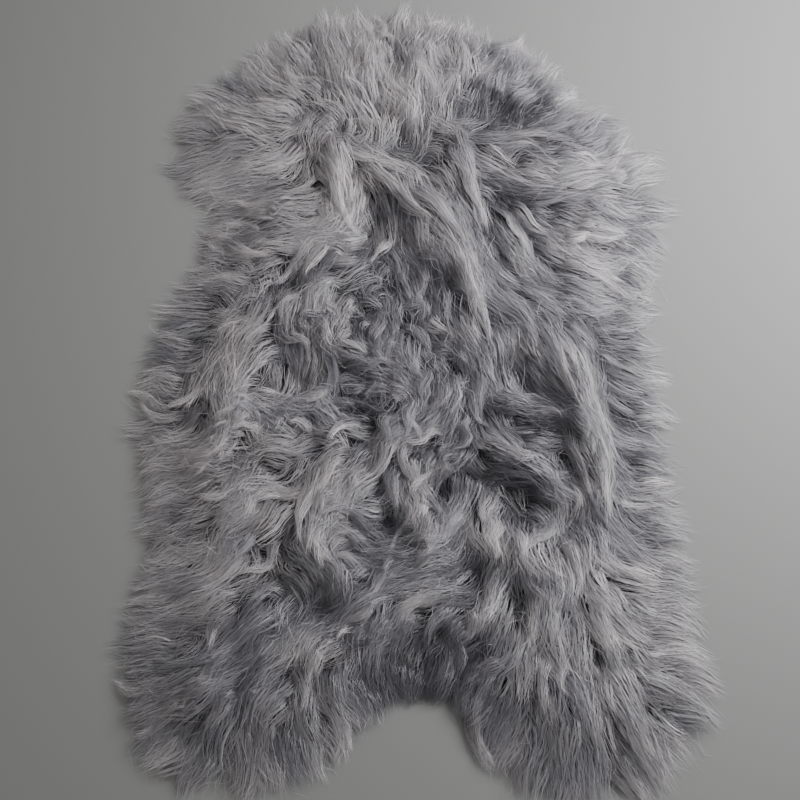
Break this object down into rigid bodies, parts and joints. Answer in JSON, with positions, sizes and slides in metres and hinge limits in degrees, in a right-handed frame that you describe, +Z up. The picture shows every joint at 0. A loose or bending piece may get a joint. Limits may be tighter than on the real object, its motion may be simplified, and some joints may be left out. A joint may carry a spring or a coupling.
{
  "type": "sheepskin rug",
  "caption": "Long-wooled grey sheepskin rug in the animal's own outline, lying wool side up, with a bay between the hind legs and soft folds down the back.",
  "frame": {"origin": "on the floor, under the centre of the rug's bounding box", "axes": "+Z up, away from the floor; +Y along the rug towards the neck; +X towards the right edge as the picture shows it, wool side up"},
  "size_m": [0.7458, 1.1274, 0.0673],
  "materials": {
    "wool": "soft long grey wool in loose wavy locks, dark at the roots and pale at the tips",
    "hide": "matt suede, the undyed flesh side of the tanned skin"
  },
  "bodies": {
    "root": {"sheepskin": "wool"}
  },
  "joints": []
}
